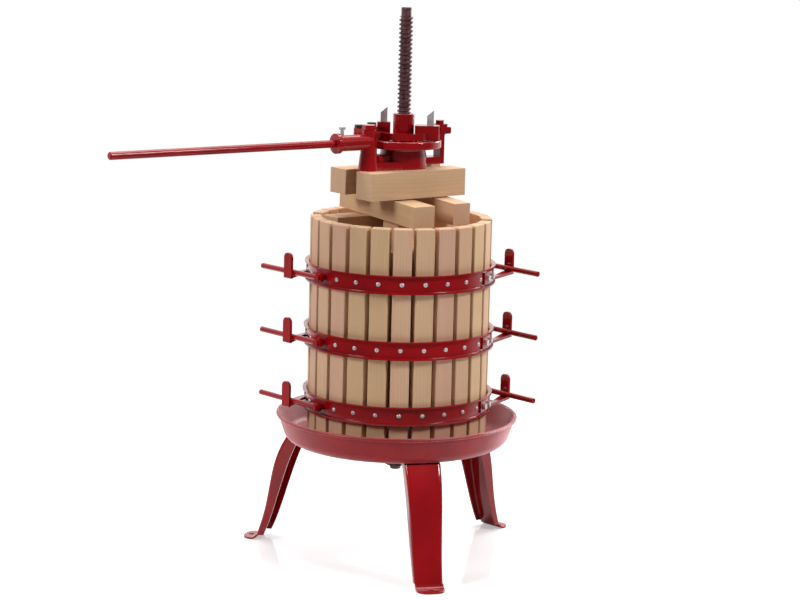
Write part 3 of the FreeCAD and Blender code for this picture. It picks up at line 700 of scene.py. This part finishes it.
def makeFootCup(settings, material):
    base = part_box("foot")[0].z
    form = bmesh.new()
    low = base + settings["low"]
    high = base + settings["high"]
    neck = settings["neckRadius"]
    rim = settings["rimRadius"]
    edge = settings["rimEdge"]
    lathe(form, [(neck, 0, low), (settings["footRadius"], 0, low), (rim - edge, 0, high - settings["rimHigh"]),
                 (rim, 0, high - settings["rimLow"]), (rim - edge, 0, high), (neck, 0, high - edge),
                 (neck, 0, low)], settings["steps"])
    saddle = bmesh.new()
    bmesh.ops.create_cube(saddle, size=1.0)
    inner = settings["saddleInner"]
    outer = settings["saddleOuter"]
    saddleLow = settings["saddleLow"]
    saddleHigh = settings["saddleHigh"]
    size = (outer - inner, settings["saddleWidth"], saddleHigh - saddleLow)
    middle = ((inner + outer) / 2, 0, base + (saddleLow + saddleHigh) / 2)
    bmesh.ops.scale(saddle, vec=size, verts=saddle.verts)
    bmesh.ops.translate(saddle, vec=middle, verts=saddle.verts)
    bmesh.ops.bevel(saddle, geom=saddle.edges[:], offset=settings["saddleEdge"], segments=4, affect="EDGES",
                    profile=0.5, material=-1)
    bmesh.ops.rotate(saddle, cent=(0, 0, 0), verts=saddle.verts,
                     matrix=Matrix.Rotation(math.radians(settings["saddleAzimuth"]), 3, "Z"))
    addForm(form, saddle)
    pieceFrom(form, "footCup", "head", material)


makeFootCup(cupSettings, enamelFinish("cupRedEnamel", castEnamelSettings))
print("foot cup made")


# Stage: a pale glossy floor that keeps the press's shadow, a white surround and soft studio light

stageSettings = {
    "floorRadius": 1.25,
    "floorSegments": 96,
    "floorColour": (0.68, 0.68, 0.68, 1),
    "floorRoughness": 0.1,
    "glow": 0.4,
    "mirroredGlow": 0.1,
    "frontLight": 0.12,
    "backLight": 1.15,
    "backRange": (0.0, 0.8),
    "upShare": 0.2,
}

lampSettings = [
    {"name": "keyLamp", "place": (-2.5, -1.6, 2.2), "aim": (0, 0, 0.5), "size": 1.0, "power": 60},
    {"name": "fillLamp", "place": (2.4, -1.4, 2.6), "aim": (0, 0, 0.4), "size": 0.8, "power": 70},
    {"name": "topLamp", "place": (0.1, 0.7, 3.0), "aim": (0, 0, 0.4), "size": 1.8, "power": 62},
    {"name": "rimLamp", "place": (2.0, 1.9, 1.3), "aim": (0, 0, 0.4), "size": 0.9, "power": 30},
]


def makeFloor(settings):
    form = bmesh.new()
    bmesh.ops.create_circle(form, cap_ends=True, segments=settings["floorSegments"],
                            radius=settings["floorRadius"])
    mesh = bpy.data.meshes.new("studioFloor")
    form.to_mesh(mesh)
    form.free()
    floor = bpy.data.objects.new("studioFloor", mesh)
    bpy.context.scene.collection.objects.link(floor)
    finish = Finish("paleFloor", Base_Color=settings["floorColour"], Roughness=settings["floorRoughness"])
    seen = finish.add("LightPath", output="Is Camera Ray") * settings["glow"]
    mirrored = finish.add("LightPath", output="Is Glossy Ray") * settings["mirroredGlow"]
    finish.plug(finish.shader, {"Emission Color": (1, 1, 1, 1), "Emission Strength": seen + mirrored})
    mesh.materials.append(finish.material)


# White for the camera and through glass, and in gloss white behind the press and darker on the camera's side
def makeWorld(settings):
    world = bpy.data.worlds.new("studioWorld")
    bpy.context.scene.world = world
    world.use_nodes = True
    graph = Graph(world.node_tree)
    x, y, z = graph.split(graph.add("TexCoord", output="Generated"))
    back = graph.ramp(y + z * settings["upShare"], *settings["backRange"])
    light = back * (settings["backLight"] - settings["frontLight"]) + settings["frontLight"]
    camera = graph.add("LightPath", output="Is Camera Ray")
    glass = graph.add("LightPath", output="Is Transmission Ray")
    gloss = graph.add("LightPath", output="Is Glossy Ray") * back
    seen = camera.maths("MAXIMUM", glass).maths("MAXIMUM", gloss)
    strength = seen + (1.0 - seen) * light
    graph.plug(world.node_tree.nodes["Background"], {"Color": (1, 1, 1, 1), "Strength": strength})


def makeLamp(settings):
    data = bpy.data.lights.new(settings["name"], "AREA")
    data.shape = "SQUARE"
    data.size = settings["size"]
    data.energy = settings["power"]
    lamp = bpy.data.objects.new(settings["name"], data)
    bpy.context.scene.collection.objects.link(lamp)
    lamp.location = settings["place"]
    way = Vector(settings["aim"]) - Vector(settings["place"])
    lamp.rotation_euler = way.to_track_quat("-Z", "Y").to_euler()


makeFloor(stageSettings)
makeWorld(stageSettings)
for lamp in lampSettings:
    makeLamp(lamp)
print("stage and light set")
